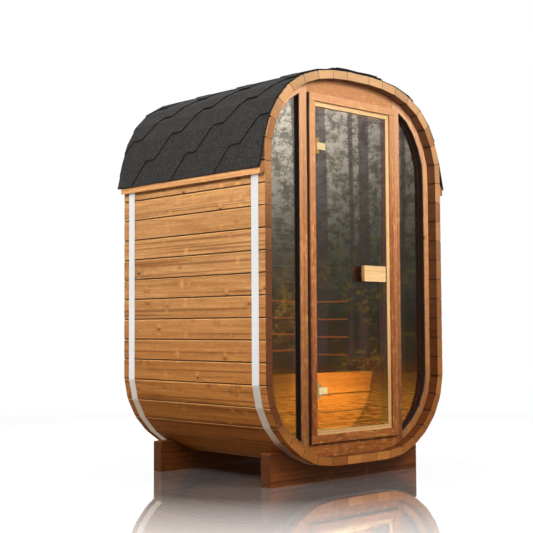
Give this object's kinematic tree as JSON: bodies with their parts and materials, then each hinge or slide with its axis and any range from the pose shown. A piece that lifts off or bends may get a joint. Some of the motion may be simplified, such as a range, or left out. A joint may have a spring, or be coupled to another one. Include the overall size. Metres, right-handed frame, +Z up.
{
  "type": "outdoor sauna",
  "caption": "Oval barrel sauna cabin of wooden staves on cradle beams, with a framed bronze-glass front, hinged glass door, bench and shingled roof.",
  "frame": {"origin": "on the ground under the middle of the part", "axes": "+Z up, -Y towards the glazed front, +X to the right seen from the front"},
  "size_m": [1.5254, 1.233, 2.2606],
  "materials": {
    "thermowood": "oiled thermally treated softwood, planed",
    "pale_wood": "smooth pale aspen",
    "steel_band": "cold-rolled stainless strip",
    "shingle": "mineral granules on bitumen felt",
    "bronze_glass": "bronze tinted toughened glass",
    "black_seal": "matt black rubber",
    "hinge_brass": "satin brass"
  },
  "bodies": {
    "cabin": {"front_bearer": "thermowood", "rear_bearer": "thermowood", "left_wall": "thermowood", "right_wall": "thermowood", "lower_left_staves": "thermowood", "lower_right_staves": "thermowood", "upper_left_staves": "thermowood", "upper_right_staves": "thermowood", "floor_staves": "thermowood", "ceiling_staves": "thermowood", "front_band": "steel_band", "rear_band": "steel_band", "left_eave_batten": "thermowood", "right_eave_batten": "thermowood", "left_shingles": "shingle", "right_shingles": "shingle", "ridge_shingles": "shingle", "back_wall": "thermowood", "left_post": "thermowood", "right_post": "thermowood", "top_panel": "thermowood", "bottom_panel": "thermowood", "left_trim": "thermowood", "right_trim": "thermowood", "left_side_glass": "bronze_glass", "right_side_glass": "bronze_glass", "left_glazing_seal": "black_seal", "right_glazing_seal": "black_seal", "casing_left": "thermowood", "casing_right": "thermowood", "casing_head": "thermowood", "casing_foot": "thermowood", "door_frame": "pale_wood", "door_stops": "pale_wood", "frame_seal": "black_seal", "hinge_plates": "hinge_brass", "bench_seat": "thermowood", "bench_front": "thermowood", "bench_supports": "thermowood"},
    "door": {"door_glass": "bronze_glass", "hinge_clamps": "hinge_brass", "outer_handle": "pale_wood", "inner_handle": "pale_wood"}
  },
  "joints": [
    {"name": "door_hinge", "type": "hinge", "parent": "cabin", "child": "door", "pos_m": [-0.288, -0.575, 1.15], "axis": [0, 0, -1], "range_deg": [0, 90]}
  ]
}
